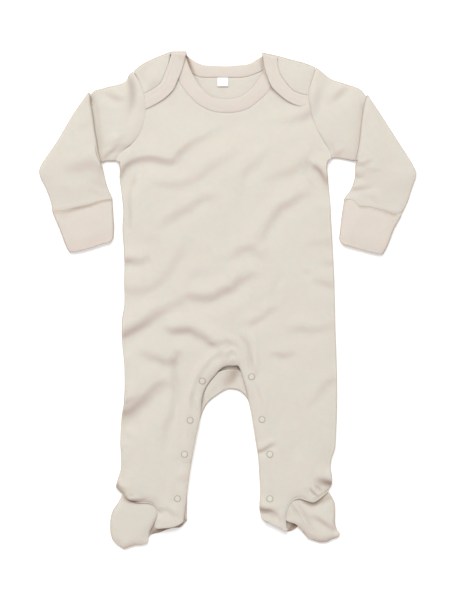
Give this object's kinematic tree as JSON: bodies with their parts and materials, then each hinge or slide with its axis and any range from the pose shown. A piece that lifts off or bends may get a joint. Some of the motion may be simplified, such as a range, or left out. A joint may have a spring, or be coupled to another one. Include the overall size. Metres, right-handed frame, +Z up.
{
  "type": "footed baby sleepsuit",
  "caption": "Cream cotton footed sleepsuit for a baby, laid flat, with lapped shoulders, long cuffed sleeves and a press-studded crotch and inner legs.",
  "frame": {"origin": "on the surface that the sleepsuit lies on, under the middle of its bounding box", "axes": "+X towards the wearer's left side, +Y along the body towards the neck, +Z up off the surface, out of the front"},
  "size_m": [0.4344, 0.5733, 0.0106],
  "materials": {
    "cream_interlock": "soft matt cream double-knit cotton with a fine even face",
    "cream_rib": "matt cream rib-knit cotton, a little pinker than the body",
    "cream_press_stud": "cream enamelled press-stud cap with a fine dark ring and a pearly middle",
    "white_tape": "bare white woven tape"
  },
  "bodies": {
    "root": {"back_body": "cream_interlock", "front_body": "cream_interlock", "sleeve_right": "cream_interlock", "sleeve_left": "cream_interlock", "cuff_right": "cream_rib", "cuff_left": "cream_rib", "front_neck_rib": "cream_rib", "back_neck_rib": "cream_rib", "front_placket": "cream_interlock", "back_placket": "cream_interlock", "foot_upper_right": "cream_interlock", "foot_upper_left": "cream_interlock", "sole_right": "cream_interlock", "sole_left": "cream_interlock", "snap_right_1": "cream_press_stud", "snap_right_2": "cream_press_stud", "snap_right_3": "cream_press_stud", "snap_right_4": "cream_press_stud", "snap_left_1": "cream_press_stud", "snap_left_2": "cream_press_stud", "snap_left_3": "cream_press_stud", "snap_left_4": "cream_press_stud", "neck_label": "white_tape"}
  },
  "joints": []
}
